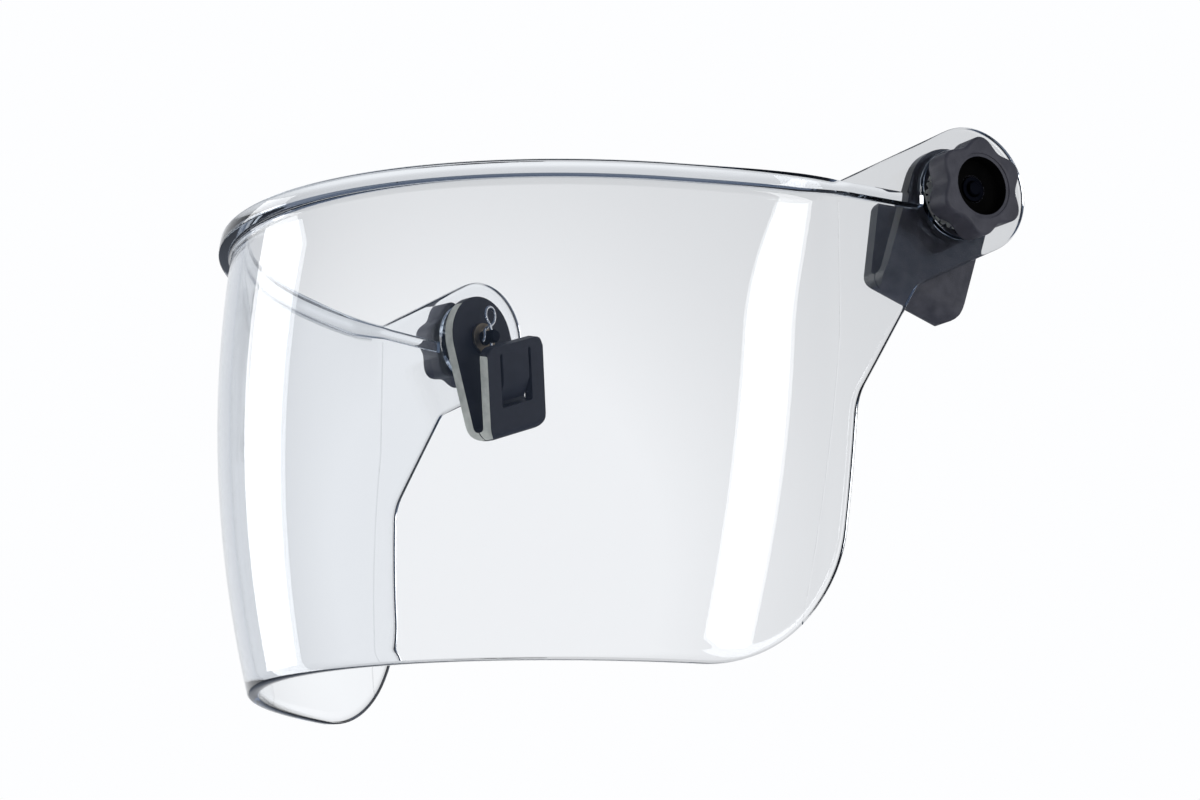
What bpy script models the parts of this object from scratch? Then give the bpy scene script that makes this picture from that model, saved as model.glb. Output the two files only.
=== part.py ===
"""Face shield: a clear moulded visor that hangs from two helmet clips, each clamped by a six-lobed knob.

Metres, +Z up. The origin is the midpoint between the two pivots, +X is the wearer's left and -Y the front.
Each pivot has a frame of its own: x along the ear, y up, and z straight out of the ear, from its outer face.
A clip's frame is its pivot's frame, turned about z by the angle at which the clip hangs.
"""

import math

import bmesh
import bpy
from mathutils import Matrix, Vector

GAP = 0.0003                 # left between pieces that touch

# Visor in plan: half an ellipse in front, and a straight ear that flares out on each side
HALF_WIDTH = 0.124
FRONT_DEPTH = 0.1495
ELLIPSE_Y = -0.0215
EAR_FLARE = 0.15             # sideways for each metre back
EAR_END_Y = 0.032
ELLIPSE_STATIONS = 22
EAR_STATIONS = 4
ELLIPSE_SHARE = ELLIPSE_STATIONS / (ELLIPSE_STATIONS + EAR_STATIONS)

# Visor wall: it leans in above and below its widest height, and the ears stay flat above it
WALL = 0.004
WIDEST_Z = -0.056
BULGE = 1.3                  # lean in metres, for each square metre of height away from the widest
FULL_BULGE = 0.4             # share of the way from ears to front where the upper lean is complete

# Visor from the side, as y and z
TOP_Z = -0.003
BOTTOM_Z = -0.153
EAR_RISE = math.radians(29.2)
EAR_CENTRE = (0.0065, 0.003)
EAR_RADIUS = 0.0205
EAR_UNDERSIDE = math.radians(27)
EAR_ROOT = (-0.0152, -0.0311, 0.006)
CHEEK_BEND = (-0.0383, -0.0696, 0.020)
REAR_CORNER = (-0.0428, BOTTOM_Z, 0.045)

# Brow rib along the top edge, in front and on the ears
RIB_HEIGHT = (0.005, 0.0035)
RIB_DEPTH = (0.0043, 0.0032)
RIB_CHANGE_Y = (-0.060, -0.044)
RIB_END_Y = -0.0155
RIB_ROOT = 0.001
RIB_DROP = 0.0001            # below the wall's top edge, so that the two top faces never coincide

# Pivot
BOSS_RADIUS = 0.0145
BOSS_TOP = 0.002
BORE = 0.0028
STUD_RADIUS = 0.0025
STUD_FLAT = 0.002
STUD_ENDS = (-0.0165, 0.0095)
STUD_CHAMFER = 0.0005
PIN_HOLE = 0.0009
PIN_Z = -0.01375

# Knob
KNOB_MEAN = 0.0146
KNOB_LOBE = 0.0014
LOBES = 6
KNOB_RIM = 0.0045
KNOB_FRONT = 0.0135
KNOB_WALL = 0.002
KNOB_POCKET = 0.0064
HUB_RADIUS = 0.007
RECESS_RADIUS = 0.0093
RECESS_FLOOR = 0.0082
RECESS_STEP = (0.0104, 0.0005)
INSERT_RADIUS = 0.004
INSERT_CLEARANCE = 0.0001     # stands in for the thread
KNOB_EDGE = 0.0006
KNOB_TURN = {"left": 0, "right": -23}

# Washers: outer radius, lowest and highest z
PRESSURE_WASHER = (0.009, 0.0037, 0.0049)
FRICTION_WASHER = (0.010, -0.0048, -0.0043)
RETAINING_WASHER = (0.0058, -0.0104, -0.0092)
WAVE_RADII = (0.0032, 0.0075)
WAVE_SHEET = 0.0004
WAVE_HEIGHT = 0.00035
WAVES = 3

# Helmet clip: a strap folded into a V, with its outer leg against the ear
CLIP_HALF_WIDTH = 0.0160
CLIP_SHEET = 0.0038
CLIP_OUTER = -WALL - 0.0011
CLIP_BOTTOM = -0.0373
GAP_BOTTOM = -0.0333
GAP_WIDTH = 0.0046
LEG_TILT = math.radians(14.3)
LEG_LENGTH = 0.0313
FOLD_RADII = (0.0075, 0.004)
GAP_RADIUS = 0.002
LEG_CORNER = 0.004
CLIP_CORNER = 0.0045
WINDOW_HALF_WIDTH = 0.0088
WINDOW_ENDS = (0.0080, 0.0282)   # along the inner leg, from the foot of the gap
WINDOW_CORNER = 0.0008
CLIP_TURN = {"left": -18, "right": -20.5}

# Spring tongue in the inner leg's window
TONGUE_HALF_WIDTH = 0.0075
TONGUE_SHEET = 0.003
TONGUE_LENGTH = 0.0184
TONGUE_BEND_AT = 0.0110
TONGUE_BEND = math.radians(22)
TONGUE_GAP = 0.00035

# Hairpin: a wire whose straight leg passes through the stud, as x, y and z from the cross hole
WIRE = 0.000575
PIN_TIP = -0.008
PIN_EYE = (0.00295, 0.0034)
PIN_EYE_Y = 0.0080
PIN_CROSSING = 0.0013

SIDES = {"left": 1, "right": -1}


def clear_scene():
    for obj in list(bpy.data.objects):
        bpy.data.objects.remove(obj)


def new_collection(name):
    collection = bpy.data.collections.new(name)
    bpy.context.scene.collection.children.link(collection)
    return collection


clear_scene()
PARTS = new_collection("face_shield")
CUTTERS = new_collection("cutters")
CUTTERS.hide_render = True


# ---------------------------------------------------------------- materials

def material(name, colour, roughness, metallic=0.0, transmission=0.0):
    made = bpy.data.materials.new(name)
    made.use_nodes = True
    shader = made.node_tree.nodes["Principled BSDF"]
    shader.inputs["Base Color"].default_value = (*colour, 1.0)
    shader.inputs["Roughness"].default_value = roughness
    shader.inputs["Metallic"].default_value = metallic
    shader.inputs["Transmission Weight"].default_value = transmission
    return made


CLEAR = material("clear_polycarbonate", (0.86, 0.92, 0.96), 0.05, transmission=1.0)
CLIP_NYLON = material("clip_nylon", (0.016, 0.018, 0.024), 0.55)
KNOB_NYLON = material("knob_nylon", (0.030, 0.032, 0.034), 0.60)
STEEL = material("plated_steel", (0.30, 0.30, 0.31), 0.35, metallic=1.0)
SPRING_STEEL = material("spring_steel", (0.45, 0.46, 0.47), 0.30, metallic=1.0)
ZINC_WIRE = material("zinc_wire", (0.72, 0.73, 0.74), 0.28, metallic=1.0)
BLACK_STEEL = material("blackened_steel", (0.020, 0.020, 0.022), 0.50, metallic=1.0)
BRONZE = material("bronze", (0.38, 0.26, 0.13), 0.40, metallic=1.0)
ACETAL = material("acetal", (0.70, 0.70, 0.68), 0.45)


# ---------------------------------------------------------------- outlines

def arc(centre, radius, start, end, steps):
    """Points on an arc, from angle start to angle end, both included."""
    angles = [start + (end - start) * i / steps for i in range(steps + 1)]
    return [(centre[0] + radius * math.cos(a), centre[1] + radius * math.sin(a)) for a in angles]


def rounded(corners, steps=6):
    """A closed outline through corners (x, y, radius), each one turned into an arc of its radius."""
    outline = []
    for i, (x, y, radius) in enumerate(corners):
        corner = Vector((x, y))
        if not radius:
            outline.append((x, y))
            continue
        back = (Vector(corners[i - 1][:2]) - corner).normalized()
        ahead = (Vector(corners[(i + 1) % len(corners)][:2]) - corner).normalized()
        half = back.angle(ahead) / 2
        centre = corner + (back + ahead).normalized() * radius / math.sin(half)
        first = corner + back * radius / math.tan(half) - centre
        turn = first.angle_signed(corner + ahead * radius / math.tan(half) - centre)
        start = math.atan2(first.y, first.x)
        outline += arc(centre, radius, start, start - turn, steps)
    return outline


def lobed(inset=0.0, steps=60):
    """The knob's outline, drawn in by inset."""
    outline = []
    for i in range(steps):
        angle = 2 * math.pi * i / steps
        radius = KNOB_MEAN + KNOB_LOBE * math.cos(LOBES * (angle - math.pi / 2)) - inset
        outline.append((radius * math.cos(angle), radius * math.sin(angle)))
    return outline


def double_d(radius, half_flat, steps=8):
    """A circle with two flats, at x = half_flat and x = -half_flat."""
    edge = math.acos(half_flat / radius)
    over = arc((0, 0), radius, edge, math.pi - edge, steps)
    under = arc((0, 0), radius, math.pi + edge, 2 * math.pi - edge, steps)
    return over + under


# ---------------------------------------------------------------- objects

def add(name, mesh, collection=CUTTERS, parent=None):
    obj = bpy.data.objects.new(name, mesh)
    collection.objects.link(obj)
    obj.parent = parent
    if collection is CUTTERS:
        obj.hide_render = True
        obj.display_type = "WIRE"
    return obj


def add_empty(name, matrix, parent=None):
    empty = add(name, None, PARTS, parent)
    empty.empty_display_size = 0.01
    empty.matrix_local = matrix
    return empty


def evaluated_mesh(obj):
    """A new mesh of the object with its modifiers applied, in the frame of its parent."""
    bpy.context.view_layer.update()
    graph = bpy.context.evaluated_depsgraph_get()
    mesh = bpy.data.meshes.new_from_object(obj.evaluated_get(graph))
    mesh.transform(obj.matrix_local)
    mesh.name = obj.name
    return mesh


def remove(*objects):
    for obj in objects:
        bpy.data.objects.remove(obj)


def prism(name, outline, low, high, frame=Matrix()):
    """A solid between z = low and z = high of a frame, with the outline in its x and y."""
    curve = bpy.data.curves.new(name, "CURVE")
    curve.dimensions = "2D"
    curve.fill_mode = "BOTH"
    curve.extrude = (high - low) / 2
    spline = curve.splines.new("POLY")
    spline.points.add(len(outline) - 1)
    for point, (x, y) in zip(spline.points, outline):
        point.co = (x, y, 0, 1)
    spline.use_cyclic_u = True
    flat = add(name + "_outline", curve)
    flat.matrix_local = frame @ Matrix.Translation((0, 0, (low + high) / 2))
    mesh = evaluated_mesh(flat)
    remove(flat)
    weld(mesh)
    return add(name, mesh)


def weld(mesh):
    """Joins a curve's loose caps to its sides, with every face turned outwards."""
    made = bmesh.new()
    made.from_mesh(mesh)
    bmesh.ops.remove_doubles(made, verts=made.verts, dist=1e-6)
    bmesh.ops.recalc_face_normals(made, faces=made.faces)
    made.to_mesh(mesh)
    made.free()


def rod(name, radius, low, high, frame=Matrix(), sides=32):
    """A cylinder between z = low and z = high of a frame."""
    made = bmesh.new()
    bmesh.ops.create_cone(
        made, cap_ends=True, segments=sides, radius1=radius, radius2=radius, depth=high - low
    )
    mesh = bpy.data.meshes.new(name)
    made.to_mesh(mesh)
    made.free()
    mesh.transform(frame @ Matrix.Translation((0, 0, (low + high) / 2)))
    return add(name, mesh)


def turned(name, profile, closed, sides=24):
    """A profile of (radius, z) turned about z. It runs down its outer side."""
    count = len(profile)
    edges = [(i, (i + 1) % count) for i in range(count if closed else count - 1)]
    mesh = bpy.data.meshes.new(name)
    mesh.from_pydata([(r, 0, z) for r, z in profile], edges, [])
    obj = add(name, mesh)
    screw = obj.modifiers.new("turn", "SCREW")
    screw.steps = sides
    screw.render_steps = sides
    screw.use_merge_vertices = True
    screw.merge_threshold = 1e-6
    return obj


def ring(name, inner, outer, low, high, sides=24):
    return turned(name, [(outer, high), (outer, low), (inner, low), (inner, high)], True, sides)


def boolean(obj, operation, other):
    modifier = obj.modifiers.new(other.name, "BOOLEAN")
    modifier.operation = operation
    modifier.object = other


def finished(obj, *cutters):
    """The object's mesh with all its cuts made. The object and its cutters are removed."""
    mesh = evaluated_mesh(obj)
    mesh.shade_smooth()
    mesh.set_sharp_from_angle(angle=math.radians(35))
    remove(obj, *cutters)
    return mesh


def place(name, mesh, look, parent, location=(0, 0, 0), tilt=0.0):
    """A piece under its parent's frame, turned by tilt about that frame's x."""
    obj = add(name, mesh, PARTS, parent)
    obj.location = location
    obj.rotation_euler = (tilt, 0, 0)
    if not mesh.materials:
        mesh.materials.append(look)
    return obj


# ---------------------------------------------------------------- frames

def ear_x():
    """Where the ears' outer faces pass the pivots."""
    start = plan(ELLIPSE_SHARE)[0]
    return start.x - EAR_FLARE * start.y


def pivot_frame(side):
    """The frame of one pivot: x along the ear, y up, z out of the ear."""
    out = Vector((SIDES[side], -EAR_FLARE, 0)).normalized()
    up = Vector((0, 0, 1))
    along = up.cross(out)
    frame = Matrix((along, up, out)).transposed().to_4x4()
    frame.translation = (SIDES[side] * ear_x(), 0, 0)
    return frame


def leg_frame():
    """The inner leg's frame in the clip's: x across, y up the leg from the foot of the gap, z into the gap."""
    tilt = Matrix.Rotation(-LEG_TILT, 4, "X")
    return Matrix.Translation((0, GAP_BOTTOM, CLIP_OUTER - CLIP_SHEET - GAP_WIDTH)) @ tilt


# ---------------------------------------------------------------- visor

def plan(share):
    """A point of the outer plan at the widest height, and the normal there. Share runs from -1, at the end of
    the right ear, through 0 in front to 1 at the end of the left ear."""
    side = math.copysign(1, share)
    end_angle = math.atan(EAR_FLARE * FRONT_DEPTH / HALF_WIDTH)
    along = min(abs(share) / ELLIPSE_SHARE, 1)
    angle = math.pi / 2 + (end_angle - math.pi / 2) * along
    x = HALF_WIDTH * math.cos(angle)
    y = ELLIPSE_Y - FRONT_DEPTH * math.sin(angle)
    normal = Vector((side * math.cos(angle) / HALF_WIDTH, -math.sin(angle) / FRONT_DEPTH, 0))
    if abs(share) > ELLIPSE_SHARE:
        back = (EAR_END_Y - y) * (abs(share) - ELLIPSE_SHARE) / (1 - ELLIPSE_SHARE)
        x += EAR_FLARE * back
        y += back
    return Vector((side * x, y, 0)), normal.normalized()


def lean(y, z):
    """How far the wall leans in at this height, as a negative offset along the plan's normal."""
    offset = -BULGE * (z - WIDEST_Z) ** 2
    if z < WIDEST_Z:
        return offset
    ear_y = plan(ELLIPSE_SHARE)[0].y
    front_y = ELLIPSE_Y - FRONT_DEPTH
    share = (ear_y - y) / (ear_y - front_y) / FULL_BULGE
    return offset * min(max(share, 0), 1)


def skin(share, z, out=0.0):
    """A point on the visor's outer surface, or out beyond it."""
    point, normal = plan(share)
    return point + normal * (lean(point.y, z) + out) + Vector((0, 0, z))


def sheet(name, columns, rows, place_point, thickness):
    """A grid of points place_point(-1..1, -1..1), thickened inwards."""
    made = bmesh.new()
    bmesh.ops.create_grid(made, x_segments=columns, y_segments=rows, size=1)
    for vert in made.verts:
        vert.co = place_point(vert.co.x, vert.co.y)
    mesh = bpy.data.meshes.new(name)
    made.to_mesh(mesh)
    made.free()
    obj = add(name, mesh)
    solidify = obj.modifiers.new("thickness", "SOLIDIFY")
    solidify.thickness = thickness
    solidify.offset = -1
    solidify.use_even_offset = True
    return obj


def visor_outline():
    """The visor from the side, as y and z, from far in front of it."""
    far = ELLIPSE_Y - 2 * FRONT_DEPTH
    start = math.pi / 2 + EAR_RISE
    end = EAR_UNDERSIDE - math.pi / 2
    round_end = arc(EAR_CENTRE, EAR_RADIUS, start, end, 14)
    tangent = round_end[0]
    brow_y = tangent[0] - (tangent[1] - TOP_Z) / math.tan(EAR_RISE)
    corners = [(far, TOP_Z, 0), (brow_y, TOP_Z, 0.008)]
    corners += [(y, z, 0) for y, z in round_end]
    corners += [EAR_ROOT, CHEEK_BEND, REAR_CORNER, (far, BOTTOM_Z, 0)]
    return rounded(corners, steps=8)


def wall_point(across, upwards):
    low = BOTTOM_Z - 2 * WALL
    high = EAR_CENTRE[1] + EAR_RADIUS + 2 * WALL
    return skin(across, low + (high - low) * (upwards + 1) / 2)


def rib_point(across, upwards):
    ear_start = plan(ELLIPSE_SHARE)[0].y
    end = ELLIPSE_SHARE + (1 - ELLIPSE_SHARE) * (RIB_END_Y - ear_start) / (EAR_END_Y - ear_start)
    share = across * end
    y = plan(share)[0].y
    change = min(max((y - RIB_CHANGE_Y[0]) / (RIB_CHANGE_Y[1] - RIB_CHANGE_Y[0]), 0), 1)
    height = RIB_HEIGHT[0] + (RIB_HEIGHT[1] - RIB_HEIGHT[0]) * change
    depth = RIB_DEPTH[0] + (RIB_DEPTH[1] - RIB_DEPTH[0]) * change
    return skin(share, TOP_Z - RIB_DROP - height * (1 - upwards) / 2, depth)


def make_visor():
    visor = sheet("visor", 2 * (ELLIPSE_STATIONS + EAR_STATIONS), 12, wall_point, WALL)
    CUTTERS.objects.unlink(visor)
    PARTS.objects.link(visor)
    visor.hide_render = False
    visor.display_type = "TEXTURED"
    across = 2 * HALF_WIDTH
    from_side = Matrix(((0, 0, 1), (1, 0, 0), (0, 1, 0))).to_4x4()
    boolean(visor, "INTERSECT", prism("side_outline", visor_outline(), -across, across, from_side))
    rib = sheet("brow_rib", 2 * (ELLIPSE_STATIONS + 2), 1, rib_point, RIB_DEPTH[0] + RIB_ROOT)
    boolean(visor, "UNION", rib)
    for side in SIDES:
        frame = pivot_frame(side)
        boss = rod(side + "_boss", BOSS_RADIUS, -WALL / 4, BOSS_TOP, frame, sides=48)
        boolean(visor, "UNION", boss)
        keyhole = prism(side + "_keyhole", double_d(BORE, STUD_FLAT + GAP), -2 * WALL, 2 * WALL, frame)
        boolean(visor, "DIFFERENCE", keyhole)
    visor.data.materials.append(CLEAR)
    visor.data.shade_smooth()


# ---------------------------------------------------------------- knob, stud and washers

def knob_mesh():
    knob = prism("knob", lobed(), KNOB_RIM, KNOB_FRONT)
    edges = knob.modifiers.new("edges", "BEVEL")
    edges.width = KNOB_EDGE
    edges.segments = 1
    edges.angle_limit = math.radians(60)
    pocket = prism("pocket", lobed(KNOB_WALL), 0, KNOB_POCKET)
    hub = rod("hub", HUB_RADIUS, PRESSURE_WASHER[2] + GAP, (KNOB_POCKET + RECESS_FLOOR) / 2)
    recess = rod("recess", RECESS_RADIUS, RECESS_FLOOR, 2 * KNOB_FRONT, sides=48)
    step = rod("step", RECESS_STEP[0], KNOB_FRONT - RECESS_STEP[1], 2 * KNOB_FRONT, sides=48)
    bore = rod("insert_bore", INSERT_RADIUS + GAP, 0, KNOB_FRONT)
    boolean(knob, "DIFFERENCE", pocket)
    boolean(knob, "UNION", hub)
    for cutter in (recess, step, bore):
        boolean(knob, "DIFFERENCE", cutter)
    return finished(knob, pocket, hub, recess, step, bore)


def insert_mesh():
    low = PRESSURE_WASHER[2] + GAP
    return finished(ring("insert", STUD_RADIUS + INSERT_CLEARANCE, INSERT_RADIUS, low, RECESS_FLOOR + GAP))


def stud_mesh():
    low, high = STUD_ENDS
    tip = STUD_RADIUS - STUD_CHAMFER
    profile = [(0, high), (tip, high), (STUD_RADIUS, high - STUD_CHAMFER)]
    profile += [(STUD_RADIUS, low + STUD_CHAMFER), (tip, low), (0, low)]
    stud = turned("stud", profile, False)
    keyed = prism("keyed", double_d(2 * STUD_RADIUS, STUD_FLAT), -WALL - GAP, 2 * high)
    plain = rod("plain", 2 * STUD_RADIUS, 2 * low, -WALL - GAP / 2)
    boolean(plain, "UNION", keyed)
    boolean(stud, "INTERSECT", plain)
    upright = Matrix.Translation((0, 0, PIN_Z)) @ Matrix.Rotation(math.pi / 2, 4, "X")
    cross_hole = rod("cross_hole", PIN_HOLE, -2 * STUD_RADIUS, 2 * STUD_RADIUS, upright, sides=16)
    boolean(stud, "DIFFERENCE", cross_hole)
    return finished(stud, keyed, plain, cross_hole)


def washer_mesh(name, size):
    outer, low, high = size
    return finished(ring(name, BORE, outer, low, high))


def wave_washer_mesh():
    low = BOSS_TOP + GAP + WAVE_SHEET / 2 + WAVE_HEIGHT

    def wave_point(around, outwards):
        angle = math.pi * around
        radius = WAVE_RADII[0] + (WAVE_RADII[1] - WAVE_RADII[0]) * (1 - outwards) / 2
        z = low + WAVE_HEIGHT * math.cos(WAVES * angle) + WAVE_SHEET / 2
        return Vector((radius * math.cos(angle), radius * math.sin(angle), z))

    washer = sheet("wave_washer", 48, 1, wave_point, WAVE_SHEET)
    weld(washer.data)
    return finished(washer)


# ---------------------------------------------------------------- helmet clip and its tongue

def clip_profile():
    """The clip from its edge, as z and y: out from the ear, and up."""
    outer_in = CLIP_OUTER - CLIP_SHEET
    foot = outer_in - GAP_WIDTH
    up_leg = Vector((-math.sin(LEG_TILT), math.cos(LEG_TILT)))
    through_leg = Vector((-math.cos(LEG_TILT), -math.sin(LEG_TILT))) * CLIP_SHEET
    leg_top = Vector((foot, GAP_BOTTOM)) + up_leg * LEG_LENGTH
    back_foot = Vector((foot, GAP_BOTTOM)) + through_leg
    back_foot += up_leg * (CLIP_BOTTOM - back_foot.y) / up_leg.y
    corners = [(CLIP_OUTER, CLIP_HALF_WIDTH * 1.2, 0), (CLIP_OUTER, CLIP_BOTTOM, FOLD_RADII[0])]
    corners += [(*back_foot, FOLD_RADII[1]), (*(leg_top + through_leg), 0), (*leg_top, 0)]
    corners += [(foot, GAP_BOTTOM, GAP_RADIUS), (outer_in, GAP_BOTTOM, GAP_RADIUS)]
    corners += [(outer_in, CLIP_HALF_WIDTH * 1.2, 0)]
    return rounded(corners)


def round_leg_corners(mesh):
    """Rounds the two corners at the free end of the inner leg."""
    made = bmesh.new()
    made.from_mesh(mesh)
    end_z = CLIP_OUTER - CLIP_SHEET - GAP_WIDTH - LEG_LENGTH * math.sin(LEG_TILT)
    sides = []
    for edge in made.edges:
        a, b = (vert.co for vert in edge.verts)
        at_end = max(a.z, b.z) < end_z + GAP and min(a.y, b.y) > -CLIP_HALF_WIDTH / 2
        if at_end and abs(a.x - b.x) < GAP:
            sides.append(edge)
    bmesh.ops.bevel(
        made, geom=sides, offset=LEG_CORNER, offset_type="OFFSET", segments=5, profile=0.5, affect="EDGES"
    )
    made.to_mesh(mesh)
    made.free()


def clip_mesh():
    turn = Matrix(((0, 0, -1), (0, 1, 0), (1, 0, 0))).to_4x4()     # the outline's x becomes the clip's z
    clip = prism("clip", clip_profile(), -CLIP_HALF_WIDTH, CLIP_HALF_WIDTH, turn)
    round_leg_corners(clip.data)
    face = arc((0, 0), CLIP_HALF_WIDTH, 0, math.pi, 24)
    corners = [(x, y, 0) for x, y in face]
    corners += [(-CLIP_HALF_WIDTH, CLIP_BOTTOM, CLIP_CORNER), (CLIP_HALF_WIDTH, CLIP_BOTTOM, CLIP_CORNER)]
    front = prism("clip_front", rounded(corners), CLIP_OUTER - 2 * LEG_LENGTH, 0)
    low, high = WINDOW_ENDS
    half = WINDOW_HALF_WIDTH
    slot = [(x, y, WINDOW_CORNER) for x, y in ((-half, low), (half, low), (half, high), (-half, high))]
    window = prism("window", rounded(slot, 3), -2 * CLIP_SHEET, GAP_WIDTH / 2, leg_frame())
    bore = rod("clip_bore", BORE, CLIP_OUTER - 2 * CLIP_SHEET, 0)
    boolean(clip, "INTERSECT", front)
    boolean(clip, "DIFFERENCE", window)
    boolean(clip, "DIFFERENCE", bore)
    return finished(clip, front, window, bore)


def tongue_mesh():
    """The tongue with its root at the origin, hanging down y, with the gap on its +z side."""
    half = TONGUE_SHEET / 2
    tip = TONGUE_LENGTH - TONGUE_BEND_AT
    into_gap = tip * math.tan(TONGUE_BEND)
    profile = [(half, 0), (half, -TONGUE_BEND_AT), (half + into_gap, -TONGUE_LENGTH)]
    profile += [(into_gap - half, -TONGUE_LENGTH), (-half, -TONGUE_BEND_AT), (-half, 0)]
    turn = Matrix(((0, 0, -1), (0, 1, 0), (1, 0, 0))).to_4x4()
    return finished(prism("tongue", profile, -TONGUE_HALF_WIDTH, TONGUE_HALF_WIDTH, turn))


# ---------------------------------------------------------------- hairpin

def smooth_path(points, steps):
    """A Catmull-Rom curve through the points, with this many steps between each two."""
    ends = [2 * points[0] - points[1], *points, 2 * points[-1] - points[-2]]
    path = []
    for a, b, c, d in zip(ends, ends[1:], ends[2:], ends[3:]):
        for i in range(steps):
            t = i / steps
            cubic = -a + 3 * b - 3 * c + d
            square = 2 * a - 5 * b + 4 * c - d
            path.append((2 * b + (c - a) * t + square * t**2 + cubic * t**3) / 2)
    return path + [points[-1]]


def hairpin_mesh():
    rise = PIN_CROSSING
    guide = [Vector((0, PIN_TIP, 0)), Vector((0, PIN_TIP / 2, 0)), Vector((0, 0, 0))]
    guide += [Vector((0, 0.0021, 0)), Vector((0.0007, 0.0040, 0))]
    for i in range(9):
        angle = math.radians(-35 + 250 * i / 8)
        x = PIN_EYE[0] * math.cos(angle)
        y = PIN_EYE_Y + PIN_EYE[1] * math.sin(angle)
        guide.append(Vector((x, y, rise * i / 8)))
    guide += [Vector((-0.0006, 0.0043, rise)), Vector((0.0010, 0.0035, rise))]
    guide += [Vector((0.0029, 0.0019, 0.6 * rise)), Vector((0.00345, 0, 0)), Vector((0.0037, -0.0015, 0))]
    guide += [Vector((0.0044, -0.0028, 0))]
    curve = bpy.data.curves.new("hairpin", "CURVE")
    curve.dimensions = "3D"
    curve.bevel_depth = WIRE
    curve.bevel_resolution = 2
    curve.use_fill_caps = True
    spline = curve.splines.new("POLY")
    path = smooth_path(guide, 2)
    spline.points.add(len(path) - 1)
    for point, place_at in zip(spline.points, path):
        point.co = (*place_at, 1)
    wire = add("wire", curve)
    mesh = evaluated_mesh(wire)
    remove(wire)
    weld(mesh)
    return finished(add("hairpin", mesh))


# ---------------------------------------------------------------- assembly

def make_sides():
    """Both pivots: the two sides share their meshes, and differ in the angles of their clips and knobs."""
    on_pivot = {
        "knob": (knob_mesh(), KNOB_NYLON),
        "knob_insert": (insert_mesh(), BLACK_STEEL),
        "stud": (stud_mesh(), BLACK_STEEL),
        "pressure_washer": (washer_mesh("pressure_washer", PRESSURE_WASHER), STEEL),
        "wave_washer": (wave_washer_mesh(), SPRING_STEEL),
        "friction_washer": (washer_mesh("friction_washer", FRICTION_WASHER), ACETAL),
        "retaining_washer": (washer_mesh("retaining_washer", RETAINING_WASHER), BRONZE),
    }
    hairpin = hairpin_mesh()
    clip = clip_mesh()
    tongue = tongue_mesh()
    root = leg_frame() @ Vector((0, WINDOW_ENDS[1] - TONGUE_GAP, -CLIP_SHEET + TONGUE_SHEET / 2))
    for side in SIDES:
        pivot = add_empty(side + "_pivot", pivot_frame(side))
        turn = Matrix.Rotation(math.radians(KNOB_TURN[side]), 4, "Z")
        knob_pivot = add_empty(side + "_knob_pivot", turn, pivot)
        for name, (mesh, look) in on_pivot.items():
            place(f"{side}_{name}", mesh, look, knob_pivot if name.startswith("knob") else pivot)
        place(side + "_hairpin", hairpin, ZINC_WIRE, pivot, (0, 0, PIN_Z))
        hang = Matrix.Rotation(math.radians(CLIP_TURN[side]), 4, "Z")
        clip_pivot = add_empty(side + "_clip_pivot", hang, pivot)
        place(side + "_helmet_clip", clip, CLIP_NYLON, clip_pivot)
        place(side + "_clip_tongue", tongue, CLIP_NYLON, clip_pivot, root, -LEG_TILT)


make_visor()
make_sides()
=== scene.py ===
"""Looks of the face shield: a fine visor, fine knobs and hairpins, softened edges on the rest, materials and
light. Metres, +Z up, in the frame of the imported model."""
import math

import bmesh
import bpy
import numpy as np
from mathutils import Matrix, Vector


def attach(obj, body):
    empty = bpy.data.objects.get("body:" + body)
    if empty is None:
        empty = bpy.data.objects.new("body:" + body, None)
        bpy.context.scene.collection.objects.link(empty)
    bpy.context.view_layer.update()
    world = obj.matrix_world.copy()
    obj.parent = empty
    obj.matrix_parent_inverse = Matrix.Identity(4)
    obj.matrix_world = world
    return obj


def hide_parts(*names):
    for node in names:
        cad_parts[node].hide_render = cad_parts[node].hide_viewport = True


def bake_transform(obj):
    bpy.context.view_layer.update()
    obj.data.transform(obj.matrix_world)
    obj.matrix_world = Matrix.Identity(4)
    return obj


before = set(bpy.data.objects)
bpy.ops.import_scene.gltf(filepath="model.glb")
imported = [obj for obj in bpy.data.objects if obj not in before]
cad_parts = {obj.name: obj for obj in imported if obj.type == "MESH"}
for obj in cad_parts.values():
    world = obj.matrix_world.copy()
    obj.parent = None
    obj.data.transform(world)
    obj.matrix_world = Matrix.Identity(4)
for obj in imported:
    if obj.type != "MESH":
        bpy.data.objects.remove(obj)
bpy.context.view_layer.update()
MM = 0.001
SIDES = {"left": 1, "right": -1}

# Visor, as the CAD has it: half an ellipse in plan, flared ears, and a wall that leans in off its widest z
HALF_WIDTH = 124.0 * MM
FRONT_DEPTH = 149.5 * MM
ELLIPSE_Y = -21.5 * MM
EAR_FLARE = 0.15
WALL = 4.0 * MM
WIDEST_Z = -56.0 * MM
BULGE = 1.3
FULL_BULGE = 0.4
TOP_Z = -3.0 * MM
BOTTOM_Z = -153.0 * MM
EAR_RISE = math.radians(29.2)
EAR_CENTRE = (6.5 * MM, 3.0 * MM)
EAR_RADIUS = 20.5 * MM
EAR_UNDERSIDE = math.radians(27)
EAR_ROOT = (-15.2 * MM, -31.1 * MM, 6 * MM)
CHEEK_BEND = (-38.3 * MM, -69.6 * MM, 20 * MM)
REAR_CORNER = (-42.8 * MM, BOTTOM_Z, 45 * MM)
BROW_RADIUS = 8 * MM
EDGE_RADIUS = 0.7 * MM
EDGE_STEPS = 4
MERGE = 1e-6           # points closer than this become one


# ---------------------------------------------------------------- small tools

def arc(centre, radius, start, end, steps):
    angles = np.linspace(start, end, steps + 1)
    return [(centre[0] + radius * math.cos(a), centre[1] + radius * math.sin(a)) for a in angles]


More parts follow.
